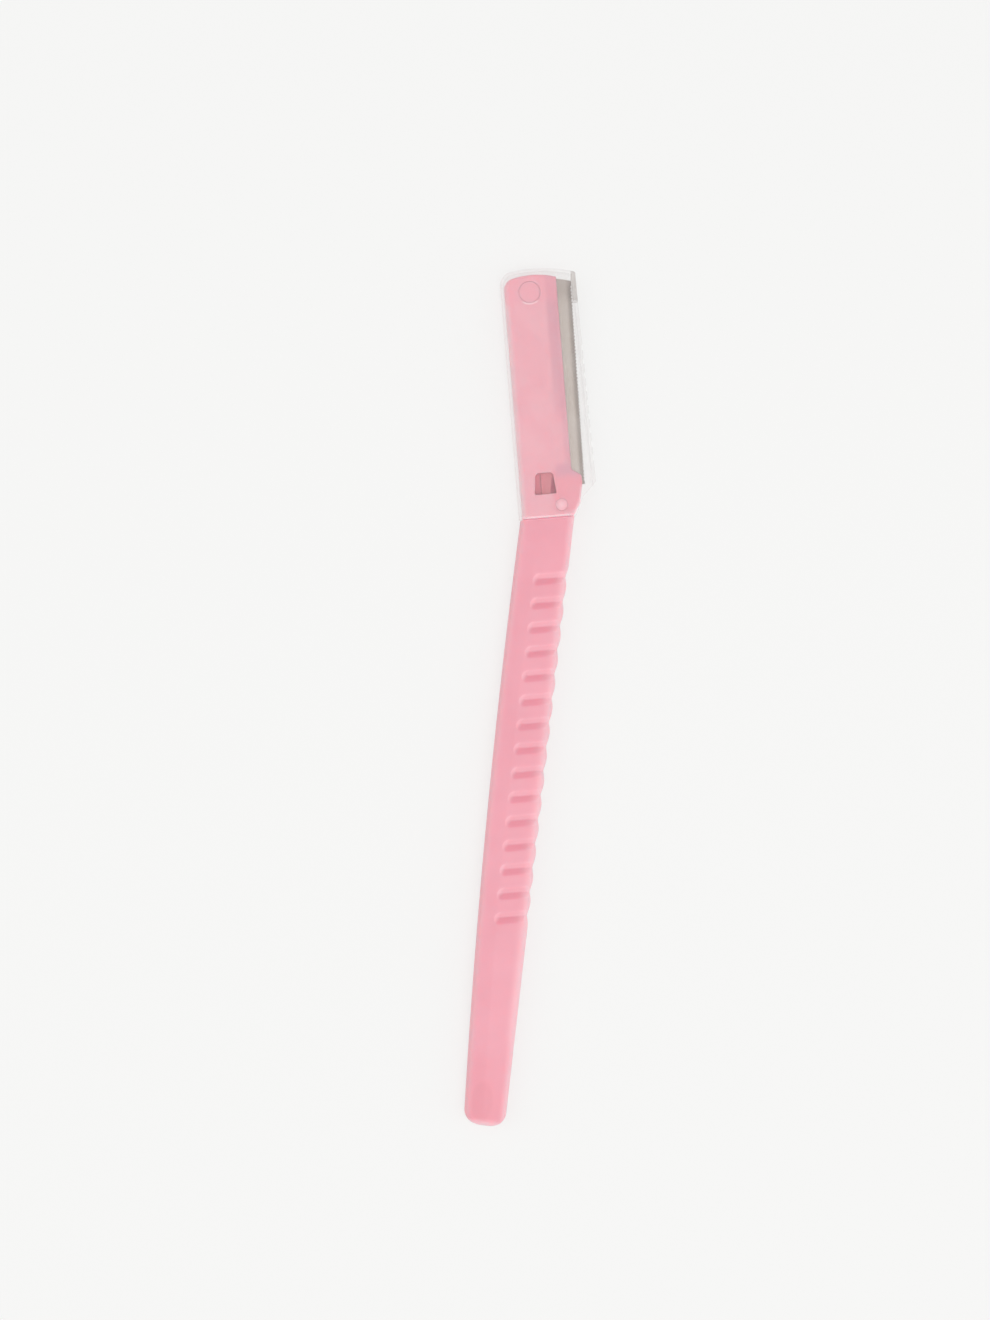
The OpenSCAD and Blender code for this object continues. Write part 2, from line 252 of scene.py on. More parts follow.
def settle(obj):
    """Applies obj's modifiers to its mesh."""
    bpy.context.view_layer.update()
    graph = bpy.context.evaluated_depsgraph_get()
    mesh = bpy.data.meshes.new_from_object(obj.evaluated_get(graph))
    obj.modifiers.clear()
    obj.data = mesh
    mesh.name = obj.name


def finish_piece(obj, body, material, nodes):
    """Smooth shading that keeps flat faces flat, then the piece's body, material and CAD nodes."""
    obj.data.shade_smooth()
    obj.data.set_sharp_from_angle(angle=math.radians(SHARP_TURN))
    normals = obj.modifiers.new("even_normals", "WEIGHTED_NORMAL")
    normals.keep_sharp = True
    obj.data.materials.clear()
    obj.data.materials.append(material)
    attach(obj, body)
    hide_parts(*nodes)


# Closed solids over an outline

def inward(outline):
    """For each point of a counter-clockwise outline, the step that moves both sides in by one."""
    steps = []
    for i, p in enumerate(outline):
        before = (p - outline[i - 1]).normalized()
        after = (outline[(i + 1) % len(outline)] - p).normalized()
        a = Vector((-before.y, before.x))
        b = Vector((-after.y, after.x))
        steps.append((a + b) / max(MITRE_LIMIT, 1 + a.dot(b)))
    return steps


def is_inside(p, outline):
    """Whether a point is inside an outline, by the sides that lie to its right."""
    inside = False
    for i, b in enumerate(outline):
        a = outline[i - 1]
        if (a.y > p.y) != (b.y > p.y) and p.x < a.x + (p.y - a.y) * (b.x - a.x) / (b.y - a.y):
            inside = not inside
    return inside


def fill(outline, spots):
    """Triangles over an outline and the spots inside it, as numbers of outline + spots."""
    points = outline + spots
    sides = [(i, (i + 1) % len(outline)) for i in range(len(outline))]
    made = geometry.delaunay_2d_cdt(points, sides, [], 0, MERGE_GAP)
    places, triangles, origins = made[0], made[2], made[3]
    numbers = [origin[0] for origin in origins]
    return [
        [numbers[i] for i in triangle]
        for triangle in triangles
        if is_inside(sum((places[i] for i in triangle), Vector((0, 0))) / 3, outline)
    ]


def rounded_ring(outline, steps, radii, turn):
    """The outline moved in as a rounded edge is at a turn from its side (0) to its face (1)."""
    angle = turn * math.pi / 2
    return [
        (p + step * r * (1 - math.cos(angle)), r * (1 - math.sin(angle)))
        for p, step, r in zip(outline, steps, radii)
    ]


def slab(name, outline, radii, low, high, spots, place):
    """Solid over an outline between the faces low(x) and high(x), with rounded edges."""
    steps = inward(outline)
    n = len(outline)
    points = []
    faces = []
    for face, up in ((high, 1), (low, -1)):
        base = len(points)
        for k in range(ROUND_N + 1):
            for p, drop in rounded_ring(outline, steps, radii, k / ROUND_N):
                points.append((p.x, p.y, face(p.x) - up * drop))
        for k in range(ROUND_N):
            for i in range(n):
                a = base + k * n + i
                b = base + k * n + (i + 1) % n
                quad = [a, b, b + n, a + n]
                faces.append(quad if up > 0 else quad[::-1])
        inner = [Vector(p[:2]) for p in points[-n:]]
        free = [
            s for s in spots
            if is_inside(s, inner) and min((s - p).length for p in inner) > FACE_GAP
        ]
        numbers = list(range(len(points) - n, len(points) + len(free)))
        points += [(s.x, s.y, face(s.x)) for s in free]
        for triangle in fill(inner, free):
            triangle = [numbers[i] for i in triangle]
            faces.append(triangle if up > 0 else triangle[::-1])
        if up > 0:
            low_base = len(points)
    for i in range(n):
        j = (i + 1) % n
        faces.append([low_base + i, low_base + j, j, i])
    return make_object(name, points, faces, place)


def flared_cutter(outline, low, face, lip, place):
    """Cutter from the height low out through face(x), which leaves a rounded rim of radius lip."""
    steps = inward(outline)
    n = len(outline)
    rows = [(0, None), (0, -lip)]
    for k in range(1, ROUND_N + 1):
        angle = k / ROUND_N * math.pi / 2
        rows.append((lip * (1 - math.cos(angle)), lip * (math.sin(angle) - 1)))
    rows.append((lip, OVER))
    points = []
    for out, rise in rows:
        for p, step in zip(outline, steps):
            q = p - step * out
            points.append((q.x, q.y, low if rise is None else face(q.x) + rise))
    return make_object("cutter", points, strips(len(rows), n) + end_faces(n, len(points)), place)


def strips(rows, n):
    """Quads between closed rows of n points each."""
    return [
        [k * n + i, k * n + (i + 1) % n, (k + 1) * n + (i + 1) % n, (k + 1) * n + i]
        for k in range(rows - 1)
        for i in range(n)
    ]


def end_faces(n, count):
    """Faces over the first and the last row of n points each, of count points in all."""
    return [list(range(n))[::-1], list(range(count - n, count))]


def prism(outline, low, high, place):
    n = len(outline)
    points = [(p.x, p.y, z) for z in (low, high) for p in outline]
    return make_object("cutter", points, strips(2, n) + end_faces(n, len(points)), place)


def block(x0, x1, y0, y1, low, high, place):
    corners = [Vector((x0, y0)), Vector((x1, y0)), Vector((x1, y1)), Vector((x0, y1))]
    return prism(corners, low, high, place)


def pin(x, y, r, low, top, place):
    """Round pin whose end has a rounded edge."""
    rows = [(r, low), (r, top - PIN_LIP)]
    for k in range(1, ROUND_N + 1):
        angle = k / ROUND_N * math.pi / 2
        rows.append((r - PIN_LIP * (1 - math.cos(angle)), top - PIN_LIP * (1 - math.sin(angle))))
    points = [(p.x, p.y, z) for q, z in rows for p in arc(x, y, q, 0, 360, PIN_N)[:-1]]
    faces = strips(len(rows), PIN_N) + end_faces(PIN_N, len(points))
    return make_object("pin", points, faces, place)


# Grip

def round_inset(d, r):
    """Inset of a quarter round of radius r at a distance d from its end."""
    return 0 if d >= r else r - math.sqrt(max(0, r * r - (r - d) ** 2))


def width_at(y):
    """Width of the handle before its edge is scalloped, bowed towards the tail."""
    return HANDLE_W - (HANDLE_W - TAIL_W) * ((-y / HANDLE_L - BOW_SHARE) / (1 - BOW_SHARE)) ** 2


def thickness_at(y):
    return lerp(HANDLE_T, TAIL_T, max(0, (-y - GRIP_END) / (HANDLE_L - GRIP_END)))


def phase_at(y):
    """Number of the groove at a height, with a fraction between two of them."""
    return (-y - GROOVE_START) / GROOVE_PITCH


def notch_at(y):
    """Depth of the scalloped edge, with the cusps between its bulges rounded."""
    phase = phase_at(y)
    if phase < -0.5 or phase > GROOVE_N - 0.5:
        return 0
    cusp = abs(phase - round(phase)) * 2
    away = math.sqrt(cusp * cusp + NOTCH_SOFT * NOTCH_SOFT)
    return NOTCH_D * max(0, 1 - away) ** 2


def groove_depth(x, y):
    """Depth of the nearest thumb groove, which has a round end and runs out at the edge."""
    nearest = clamp(round(phase_at(y)), 0, GROOVE_N - 1)
    across = (-y - GROOVE_START - nearest * GROOVE_PITCH) * math.cos(HEAD_TILT)
    along = min(0, x - GROOVE_X) / math.cos(HEAD_TILT)
    reach = math.hypot(across, along) / (GROOVE_W / 2)
    if reach >= GROOVE_CUTOFF:
        return 0
    return GROOVE_D * soft_positive(1 - math.hypot(reach, GROOVE_TIP), GROOVE_SOFT)


def slope_at(x, left, y):
    """How far the front slopes down towards the left side."""
    return SLOPE_D * min(1, -y / GROOVE_START) * max(0, 1 - (x - left) / SLOPE_W)


def shear_at(y):
    """Lean of a section: none at the tail, and the cap's mouth's own from the grip on."""
    return math.tan(HEAD_TILT) * clamp((y + HANDLE_L) / (HANDLE_L - GRIP_END))


def section(y, drawn_in=0.0):
    """Closed section of the grip, parallel to the cap's mouth, drawn in on all sides near an end."""
    inset = round_inset(y + HANDLE_L, TAIL_R) + drawn_in
    left = EDGE_X - width_at(y) + inset
    right = EDGE_X - notch_at(y) - inset
    low = round_inset(y + HANDLE_L, BACK_R) + drawn_in
    high = thickness_at(y) - round_inset(y + HANDLE_L, FRONT_R) - drawn_in
    limit = ROUND_SHARE * min(right - left, high - low)
    rf = min(FRONT_R, limit)
    rb = min(BACK_R, limit)
    back = arc(left + rb, low + rb, rb, 180, 270, ROUND_N)
    back += arc(right - rb, low + rb, rb, 270, 360, ROUND_N)
    front = arc(right - rf, high - rf, rf, 0, 90, ROUND_N)
    front += [Vector((lerp(right - rf, left + rf, i / FACE_N), high)) for i in range(1, FACE_N)]
    front += arc(left + rf, high - rf, rf, 90, 180, ROUND_N)
    shear = shear_at(y)
    points = [(p.x, y + p.x * shear, p.y) for p in back]
    for p in front:
        z = min(p.y, high - groove_depth(p.x, y)) - slope_at(p.x, left, y)
        points.append((p.x, y + p.x * shear, z))
    return points


def grip_heights():
    """Heights of the sections from the tail to the mouth, each with how far it is drawn in."""
    heights = [TAIL_R * (1 - math.cos(i / TAIL_N * math.pi / 2)) - HANDLE_L for i in range(TAIL_N + 1)]
    plain = round((HANDLE_L - TAIL_R - GRIP_END) / PLAIN_STEP)
    heights += [lerp(TAIL_R - HANDLE_L, -GRIP_END, i / plain) for i in range(1, plain + 1)]
    count = GROOVE_N * PITCH_N
    grip_top = GROOVE_PITCH / 2 - GROOVE_START
    heights += [lerp(-GRIP_END, grip_top, i / count) for i in range(1, count + 1)]
    end = -CAP_GAP / math.cos(HEAD_TILT)
    neck = round((end - MOUTH_R - grip_top) / PLAIN_STEP)
    heights += [lerp(grip_top, end - MOUTH_R, i / neck) for i in range(1, neck + 1)]
    rings = [(y, 0.0) for y in heights]
    for k in range(1, ROUND_N + 1):
        angle = k / ROUND_N * math.pi / 2
        rings.append((end - MOUTH_R * (1 - math.sin(angle)), MOUTH_R * (1 - math.cos(angle))))
    return rings


def make_grip():
    rings = [section(y, drawn_in) for y, drawn_in in grip_heights()]
    n = len(rings[0])
    points = [p for ring in rings for p in ring]
    faces = strips(len(rings), n) + end_faces(n, len(points))
    return make_object("handle_moulding", points, faces, ON_HANDLE)


# Head

def face_z(x):
    """Height of the head's front face above the mid-plane."""
    return HEAD_T / 2 - soft_positive(x - TAPER_X, TAPER_SOFT) * TAPER


def domed_corner(right, left, crown_r, drop, corner):
    """Points along a dome from the right, round its corner and down to the left side."""
    r = crown_r - drop
    x = left + corner
    rise = math.sqrt((r - corner) ** 2 - (x - DOME_X) ** 2)
    turn = math.degrees(math.atan2(rise, x - DOME_X))
    start = math.degrees(math.acos((right - DOME_X) / r))
    low = HEAD_L - crown_r
    return arc(DOME_X, low, r, start, turn, ARC_N) + arc(x, low + rise, corner, turn, 180, ARC_N)[1:]


def rounded_corner(before, corner, after, r, n):
    """Arc that rounds one corner of an outline."""
    a = (before - corner).normalized()
    b = (after - corner).normalized()
    half = a.angle(b) / 2
    middle = corner + (a + b).normalized() * r / math.sin(half)
    start = corner + a * r / math.tan(half) - middle
    end = corner + b * r / math.tan(half) - middle
    sweep = start.angle_signed(end)
    return [middle + Matrix.Rotation(-sweep * i / n, 2) @ start for i in range(n + 1)]


def head_outline():
    """Outline of the head with the size of the rounding along it."""
    neck_low = Vector((NECK_X - CAP_GAP - HEAD_ROOT * math.tan(HEAD_TILT), -HEAD_ROOT))
    neck = Vector((NECK_X, 0))
    bend = Vector((lerp(NECK_X, SHOULDER_X, SLOPE_SHARES[0]), SLOPE_SHARES[1] * SHOULDER_Y))
    shoulder = Vector((SHOULDER_X, SHOULDER_Y))
    shoulder_top = Vector((SHOULDER_X, SHOULDER_Y + SHOULDER_L))
    lip_foot = Vector((LIP_X, LIP_Y))
    dome = domed_corner(LIP_X, -SPINE_X, DOME_R, 0, CORNER_R)
    path = [neck, bend, shoulder, shoulder_top, lip_foot, dome[0]]
    outline = [Vector((-SPINE_X, -HEAD_ROOT)), neck_low, neck]
    for i, (r, n) in enumerate(BENDS):
        outline += rounded_corner(*path[i:i + 3], r, n)
    outline += [lip_foot.lerp(dome[0], i / SIDE_N) for i in range(2, SIDE_N)]
    outline += dome
    spine_top = dome[-1].y
    outline += [Vector((-SPINE_X, lerp(spine_top, -HEAD_ROOT, i / SIDE_N))) for i in range(1, SIDE_N)]
    radii = [lerp(SPINE_R, RIM_R, clamp((p.x + SPINE_X) / CORNER_R)) for p in outline]
    return outline, radii


def head_form(name):
    outline, radii = head_outline()
    spots = [Vector((x, y * FACE_STEP)) for x in FACE_COLUMNS for y in FACE_ROWS]
    return slab(name, outline, radii, lambda x: -face_z(x), face_z, spots, ON_HEAD)


def window_outline():
    half = WINDOW_TOP_W / 2
    foot = WINDOW_W / 2
    top = WINDOW_Y + WINDOW_H
    corners = [Vector((-foot, WINDOW_Y)), Vector((foot, WINDOW_Y))]
    corners += [Vector((half, top)), Vector((-half, top))]
    radii = [WINDOW_FOOT_R, WINDOW_FOOT_R, WINDOW_R, WINDOW_R]
    outline = []
    for i, r in enumerate(radii):
        after = corners[(i + 1) % len(corners)]
        outline += rounded_corner(corners[i - 1], corners[i], after, r, ROUND_N)
    return outline


def pin_places():
    """Each pin's place, its radius and the height of its end."""
    return [(PIN_X, PIN_Y, PIN_R, HEAD_T / 2), (0, BOSS_Y, BOSS_R, HEAD_T / 2 - BOSS_SINK)]


def guard_space():
    """Room between the lips for the guard's foil."""
    half = BLADE_T / 2 + GUARD_T
    left = GUARD_IN - POCKET_GAP
    low = SHOULDER_Y - POCKET_GAP
    return block(left, SHOULDER_X + 2 * OVER, low, HEAD_L + OVER, -half, half, ON_HEAD)


def cover_space(gap):
    """Room behind the front plate that the cover fills, less a gap around it."""
    right = SHOULDER_X + 2 * OVER
    high = HEAD_L + 2 * OVER
    return block(gap - SEAM_X, right, COVER_Y + gap, high, -HEAD_T, BLADE_T / 2, ON_HEAD)


def make_handle():
    """Grip and front half of the head, one moulding."""
    head = head_form("head_front")
    combine(head, cover_space(0), "DIFFERENCE")
    combine(head, flared_cutter(window_outline(), 0, face_z, WINDOW_LIP, ON_HEAD), "DIFFERENCE")
    for x, y, r, _ in pin_places():
        circle = arc(x, y, r + PIN_GAP, 0, 360, PIN_N)[:-1]
        combine(head, flared_cutter(circle, 0, face_z, PIN_LIP, ON_HEAD), "DIFFERENCE")
    combine(head, guard_space(), "DIFFERENCE")
    handle = make_grip()
    combine(handle, head, "UNION")
    return handle


def make_cover():
    """Back half of the head, with the pins that show in its front."""
    cover = head_form("cover_moulding")
    combine(cover, cover_space(SEAM_GAP), "INTERSECT")
    left = -BLADE_BACK_X - POCKET_GAP
    right = SHOULDER_X + 2 * OVER
    low = SHOULDER_Y - POCKET_GAP
    high = HEAD_L + OVER
    tang_right = PIN_X + 2 * PIN_R + POCKET_GAP
    pocket = [(left, TANG_Y - POCKET_GAP), (tang_right, TANG_Y - POCKET_GAP)]
    pocket += [(STEP_X + POCKET_GAP, low)]
    pocket += [(right, low), (right, high), (left, high)]
    cutter = prism([Vector(p) for p in pocket], -BLADE_T / 2, HEAD_T, ON_HEAD)
    combine(cover, cutter, "DIFFERENCE")
    combine(cover, guard_space(), "DIFFERENCE")
    for x, y, r, top in pin_places():
        combine(cover, pin(x, y, r, PIN_FOOT, top, ON_HEAD), "UNION")
    return cover


# Cap

def fold_at(y):
    """Distance of the guard's fold from the head's axis."""
    return FOLD_X + (y - SHOULDER_Y) * FOLD_SLOPE


CAP_RIGHT = fold_at(HEAD_L) + CAP_EDGE_GAP + CAP_WALL


def cap_side(y):
    """Distance of the cap's outer wall from the head's axis, on the blade's side."""
    return CAP_RIGHT + (HEAD_L - y) * CAP_DRAFT


def corner_foot(inset):
    """Where the cap's right side, drawn in by an inset, meets the slanted corner."""
    step_x = cap_side(CAP_CORNER_Y) - slant_middle().x
    step_y = CAP_CORNER_Y - slant_middle().y
    return Vector((cap_side(CAP_CORNER_Y) - inset, CAP_CORNER_Y - inset * step_y / step_x))


def slant_middle():
    """Middle of the cap's slanted corner."""
    x = lerp(NECK_X, SHOULDER_X, CORNER_SHARES[0])
    return Vector((x + CAP_WALL, CORNER_SHARES[1] * SHOULDER_Y))


def rib_hollow(y):
    """Depth of the hollow between two ribs at a height, with sloped ends."""
    place = y - RIB_LOW
    if place < 0 or place > RIB_N * RIB_PITCH:
        return 0
    place %= RIB_PITCH
    return RIB_D * clamp(min(place, RIB_PITCH / 2 - place) / RIB_RAMP)


def cap_path(inset):
    """The cap's plan from the slanted corner up its ribbed side, over the top and down the spine."""
    right = cap_side(HEAD_L) - inset
    left = -(SPINE_X + CAP_GAP + CAP_WALL - inset)
    drop = inset - CAP_TOP_GAP - CAP_WALL
    corner_r = CORNER_R + CAP_GAP + CAP_WALL - inset
    top = domed_corner(right - TOP_START, left, FAR_DOME_R, drop, corner_r)
    peak = HEAD_L - FAR_DOME_R + math.sqrt((FAR_DOME_R - drop) ** 2 - (right - DOME_X) ** 2)
    corner = Vector((right, peak))
    side = [corner_foot(inset)]
    for i in range(RIB_N):
        for step in (0, RIB_RAMP, RIB_PITCH / 2 - RIB_RAMP, RIB_PITCH / 2):
            y = RIB_LOW + i * RIB_PITCH + step
            side.append(Vector((cap_side(y) - inset, y)))
    y = HEAD_L - BLOCK_L
    for step in (-RIB_RAMP, 0):
        side.append(Vector((cap_side(y + step) - inset, y + step)))
    side += rounded_corner(side[-1], corner, top[1], BLOCK_R, BLOCK_N)
    return side + top[1:] + [Vector((left, 0))]


def cap_shell(inset, r, half, shape):
    """Rows of points across the cap's edge, each row the plan path drawn in by the rounded edge."""
    angles = [k / ROUND_N * math.pi / 2 for k in range(ROUND_N + 1)]
    profile = [(r * (1 - math.cos(a)), half - r * (1 - math.sin(a))) for a in angles]
    across = profile[::-1] + [(d, -z) for d, z in profile]
    return [[(p.x, p.y, z) for p in shape(inset, d)] for d, z in across]


def outer_shape(inset, d):
    """Plan of the outer wall, with its ribs."""
    return [Vector((min(p.x, cap_side(p.y) - rib_hollow(p.y)), p.y)) for p in cap_path(inset + d)]


def inner_shape(inset, d):
    """Plan of the inner wall, which stays clear of the solid corner."""
    stop = fold_at(HEAD_L) + CAP_GAP
    low = HEAD_L - BLOCK_L - SLACK
    return [Vector((min(p.x, stop), p.y)) if p.y > low else p for p in cap_path(inset + d)]


def make_cap():
    """Clear sleeve, open at its mouth and along its slanted corner."""
    half = HEAD_T / 2 + CAP_GAP + CAP_WALL
    points = []
    faces = []
    shells = []
    slants = [slant_middle(), Vector((NECK_X + CAP_WALL, 0))]
    for inset, shape in ((0, outer_shape), (CAP_WALL, inner_shape)):
        h = half - inset
        rows = cap_shell(inset, CAP_R - inset, h, shape)
        n = len(rows[0])
        base = len(points)
        points += [p for row in rows for p in row]
        front = len(points)
        points += [(p.x, p.y, h) for p in slants]
        back = len(points)
        points += [(p.x, p.y, -h) for p in slants]
        last = base + (len(rows) - 1) * n
        sheet = [
            [base + k * n + i, base + (k + 1) * n + i, base + (k + 1) * n + i + 1, base + k * n + i + 1]
            for k in range(len(rows) - 1)
            for i in range(n - 1)
        ]
        sheet.append([base + i for i in range(n)] + [front + 1, front])
        sheet.append(([last + i for i in range(n)] + [back + 1, back])[::-1])
        faces += sheet if inset == 0 else [f[::-1] for f in sheet]
        right = [base + k * n for k in range(len(rows))]
        left = [base + k * n + n - 1 for k in range(len(rows))]
        shells.append(right + [back, back + 1] + left[::-1] + [front + 1, front])
    outer, inner = shells
    for i in range(len(outer)):
        j = (i + 1) % len(outer)
        faces.append([outer[i], inner[i], inner[j], outer[j]])
    cap = make_object("clear_cap", points, faces, ON_HEAD)
    rim = cap.modifiers.new("rim", "BEVEL")
    rim.limit_method = "ANGLE"
    rim.angle_limit = math.radians(CAP_RIM_TURN)
    rim.width = CAP_RIM_R * MM
    rim.segments = CAP_RIM_N
    settle(cap)
    return cap


# Materials

# Scale of each noise, in cells a metre
CLOUD_SCALE = 140
GRAIN_SCALE = 5200
HAZE_SCALE = 260
RIPPLE_SCALE = 420
SPECK_SCALE = 6
# The part of a noise's range that it really uses
NOISE_SPAN = (0.3, 0.7)

# Colours are screen colours, a bump is its strength and its height in millimetres, and the depths
# to which red, green and blue light go in are in millimetres
PINK = ((239, 168, 181), (235, 163, 176))
PINK_ROUGHNESS = (0.34, 0.46)
PINK_BUMP = (0.25, 0.01)
PINK_SUBSURFACE = 0.55
PINK_DEPTHS = (1.0, 0.3, 0.3)
PINK_IOR = 1.49

# How much the shading of a groove's round end leans
SLANT_SHARE = 0.5
# Round spot near the tail: its middle, measured from the tail's end, and how far it is drawn out
SPOT_X = 0.1
SPOT_Y = 4.2
SPOT_SHARE = 0.55

# A ramp is the name of a value and where it starts and ends, in millimetres. A tint shows where
# all its ramps are full. x, y and z are in the head's frame, and row_x, row_y and row_z in the row's
FRONT = ("row_z", 0.2, 2.6)
BELOW_MOUTH = ("y", 0.4, -0.4)
IN_GROOVE = (BELOW_MOUTH, ("reach", 1.2, 1.0), ("row_z", HANDLE_T - 1.6, HANDLE_T - 1.2))

# Tints of the pink plastic, many of them painted light and shade, in the order in which they are laid:
# colour, share and ramps
HEAD_TINTS = {
    "head": ((233, 164, 177), 0.8, ("y", 0.5, 1.5)),
    "root": ((234, 142, 159), 0.85, ("x", 0.8, 1.8), ("y", 0.6, 1.4), ("y", 8.6, 7.2)),
    "over the tang": ((216, 148, 168), 0.85, ("x", 1.5, 2.6), ("y", 6.2, 7.8), ("y", 9.8, 8.4)),
    "beside the lip": ((218, 152, 168), 0.6, ("x", 3.4, 4.3), ("y", 7, 10)),
    "over the blade": ((214, 144, 162), 0.75, ("x", 2.3, 3.2), ("x", 5.2, 4.0), ("y", 12, 28)),
    # Painted highlight: a pale band along the spine's rounded front edge
    "spine": ((232, 201, 206), 0.8, ("x", -3.3, -4.3), ("y", -0.2, 0.2), ("z", 0.4, 1.2)),
    "top": ((240, 156, 172), 0.45, ("y", 36.6, 38.2)),
    "shoulder's rim": ((252, 208, 216), 0.75, ("from_shoulder", RIM_REACH - 0.7, RIM_REACH - 0.2),
                       ("y", 0.2, 0.8), ("y", 5.6, 4.4)),
    # Painted highlight: a pale dash along the lower rim of the ring round the upper pin
    "painted highlight below the ring": ((252, 206, 214), 0.8, ("from_ring", BOSS_R, BOSS_R + 0.1),
                       ("from_ring", BOSS_R + 0.4, BOSS_R + 0.3), ("y", BOSS_Y - 1.4, BOSS_Y - 1.8)),
    # Painted shade: the window's floor and walls darker the deeper they lie
    "window": ((226, 106, 130), 0.9, ("from_axis", 2.1, 1.95), ("y", 3.9, 4.05), ("y", 7.95, 7.75),
               ("z", 1.5, 0.4)),
    "pin": ((247, 180, 191), 0.8, ("from_pin", 1.25, 0.8)),
    "pin's middle": ((253, 206, 214), 0.5, ("from_pin", 0.8, 0.2)),
    # Painted light: a pale band over the mouth that hides the shade in the gap below the cap's rim
    "mouth": ((255, 184, 199), 1.0, ("y", -0.35, -0.15), ("y", 0.5, 0.35)),
}
GRIP_TINTS = {
    "groove's shaded side": ((238, 151, 167), 0.6, *IN_GROOVE, ("across", -0.15, 0.1),
                             ("slanted", -0.7, -0.2), ("row_x", 3.2, 1.6)),
    # Painted highlight round the groove's round end
    "groove's round end": ((252, 190, 200), 0.5, *IN_GROOVE, ("slanted", -0.5, -1.1),
                           ("reach", 1.2, 0.9)),
    "groove's lit side": ((250, 190, 200), 0.45, *IN_GROOVE, ("across", 0.0, -0.3),
                          ("reach", 1.15, 0.8)),
    # Painted light that lifts the shade of the groove where it runs out at the edge
    "groove's open end, painted light": ((252, 196, 206), 0.55, *IN_GROOVE, ("row_x", 2.6, 3.7)),
    "tail": ((236, 158, 171), 0.75, ("row_y", TAIL_Y + 16, TAIL_Y + 5)),
    "spot near the tail": ((231, 155, 167), 0.6, FRONT, ("from_spot", 2.2, 1.6)),
    # Painted light: the right part of the front paler, as if lit from the right
    "right side": ((246, 190, 198), 0.5, FRONT, ("row_x", EDGE_X - 2.2, EDGE_X - 0.7),
                   ("row_y", TAIL_Y + 12, TAIL_Y + 18), ("row_y", ORIGIN_Y - 7, ORIGIN_Y - 11)),
    # Painted highlights: pale bands along the rounded front edges of the left side, the right side and
    # the tail's end
    "left rim's painted light": ((236, 182, 190), 0.75, FRONT, BELOW_MOUTH, ("from_left", 1.5, 0.3)),
    "right rim's painted highlight": ((248, 206, 213), 0.8, FRONT, BELOW_MOUTH, ("row_x", EDGE_X - 1.4, EDGE_X)),
    "end's rim, painted highlight": ((252, 206, 214), 0.8, FRONT, ("row_y", TAIL_Y + 1.5, TAIL_Y + 0.3)),
}

# Steel: light, dark and edge colours, width of the dark edge, mean roughness and noise scales
STEELS = {
    "blade": ((168, 157, 148), (158, 146, 137), (124, 114, 108), 1.2, 0.36, (9000, 260, 9000)),
    "guard": ((172, 163, 155), (162, 152, 144), (136, 125, 118), 1.2, 0.42, (7000, 900, 7000)),
}
# Scale, detail and roughness of the grain along those scales
STEEL_GRAIN = (1.0, 4, 0.6)
STEEL_BUMP = (0.2, 0.005)
STEEL_ROUGHNESS = (-0.06, 0.08)
# Painted shade: the steel darker towards the top of the head, in its edge colour
PAINTED_SHADE_AT_STEEL_TOP = ("y", 37.2, 39.2)
PAINTED_SHADE_AT_STEEL_TOP_SHARE = 0.4
FOLD_EDGE_SHARE = 0.25
WINDOW_LEAN = -0.16
IN_WINDOW = (("x", 2.4, 2.0), ("y", 8.6, 8.1))
STEEL_TINTS = {
    # Where the steel shows through the window: a painted pink reflection of the window's walls, then
    # painted shade on its lower side
    "painted pink reflection in the window": ((180, 98, 108), 1.0, *IN_WINDOW),
    "window's shaded side": ((140, 30, 66), 0.95, *IN_WINDOW, ("leaning", 0.05, 0.3), ("y", 7.4, 6.4)),
}

CLEAR = ((250, 246, 245), (246, 243, 242))
CLEAR_ROUGHNESS = (0.1, 0.2)
CLEAR_BUMP = (0.1, 0.02)
CLEAR_HAZE = (0.08, 0.12)
CLEAR_IOR = 1.45
CLEAR_SHADOW = (0.98, 0.98, 0.98, 1)
EDGE_BLEND = 0.4
# Haze added where a wall is seen edge-on, at the mouth, where its pale haze is a painted highlight
# along the rim, and in the solid corner
EDGE_HAZE = 0.1
MOUTH_HIGHLIGHT_HAZE = 0.18
BLOCK_HAZE = 0.25
AT_MOUTH = (("y", 0.5, 0.25), ("from_mouth", 4.8, 3.4))
IN_BLOCK = (("x", 7.3, 7.5), ("y", HEAD_L - BLOCK_L - 0.1, HEAD_L - BLOCK_L + 0.1))
CLEAR_TINTS = {
    # Painted reflection: a pink tint on the cap's wall beside the spine, of the pink head next to it
    "left wall's painted pink reflection": ((253, 228, 231), 0.7, ("x", -SPINE_X, -SPINE_X - CAP_GAP)),
    "solid corner": ((196, 186, 180), 1.0, *IN_BLOCK),
}


def new_material(name):
    material = bpy.data.materials.new(name)
    material.use_nodes = True
    return material, material.node_tree, material.node_tree.nodes["Principled BSDF"]


def add(tree, kind, inputs=None, **settings):
    node = tree.nodes.new(kind)
    for key, value in settings.items():
        setattr(node, key, value)
    for key, value in (inputs or {}).items():
        if isinstance(value, bpy.types.NodeSocket):
            tree.links.new(value, node.inputs[key])
        else:
            node.inputs[key].default_value = value
    return node


def maths(tree, operation, *values):
    """Result of a sum on one to three values."""
    return add(tree, "ShaderNodeMath", dict(enumerate(values)), operation=operation).outputs[0]


def place_on_head(tree):
    """Coordinates in the head's frame, in metres."""
    where = add(tree, "ShaderNodeTexCoord")
    return add(tree, "ShaderNodeMapping", {
        "Vector": where.outputs["Object"],
        "Location": (0, ORIGIN_Y * MM, HANDLE_T / 2 * MM),
        "Rotation": (0, 0, HEAD_TILT),
    }, vector_type="TEXTURE").outputs[0]


def split(tree, vector):
    return add(tree, "ShaderNodeSeparateXYZ", {"Vector": vector}).outputs


